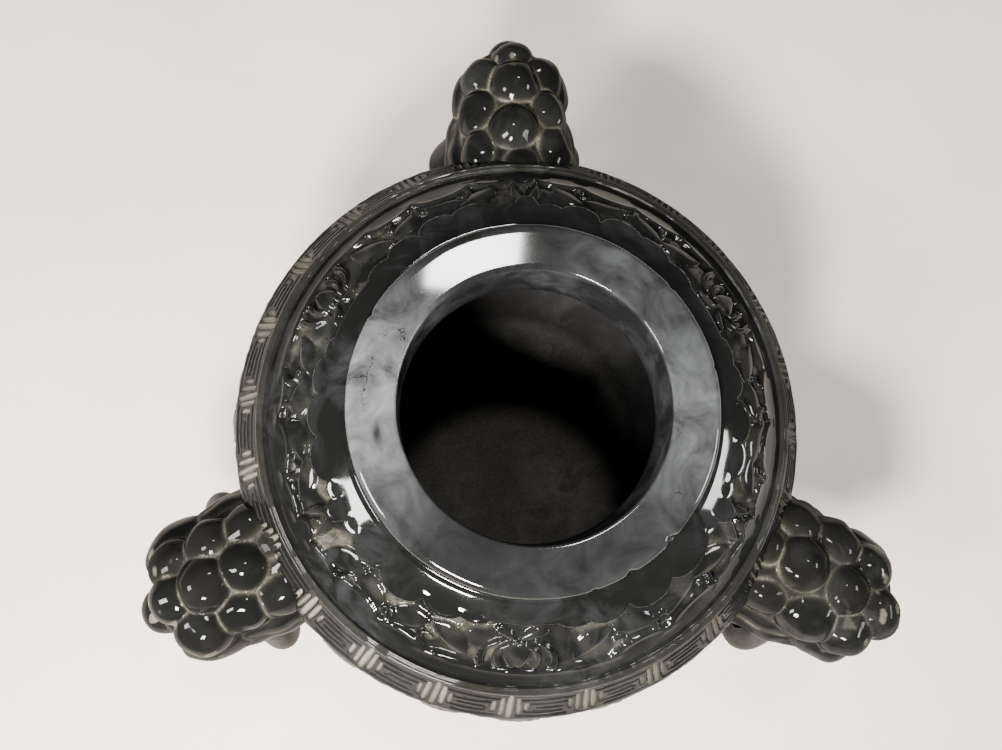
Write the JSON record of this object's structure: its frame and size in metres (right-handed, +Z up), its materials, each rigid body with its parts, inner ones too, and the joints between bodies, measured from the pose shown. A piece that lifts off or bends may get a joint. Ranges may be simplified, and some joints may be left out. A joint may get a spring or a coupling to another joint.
{
  "type": "jade censer",
  "caption": "Hollow round stone incense burner without its lid, on short feet, with a key-fret band, a carved shoulder, knobbed mask handles and loose hanging rings.",
  "frame": {"origin": "middle of the whole part's footprint, on the plane its feet stand on", "axes": "+Z up out of the mouth, +Y towards the handle named back, +X towards the side of the handle named right"},
  "size_m": [0.2104, 0.2028, 0.106],
  "materials": {
    "dark_jade": "polished near-black jade with cloudy grey mottling and pale dust in the carving",
    "ring_jade": "softly polished dark grey jade"
  },
  "bodies": {
    "root": {"censer_body": "dark_jade", "ring_back": "ring_jade", "ring_left": "ring_jade", "ring_right": "ring_jade"}
  },
  "joints": []
}
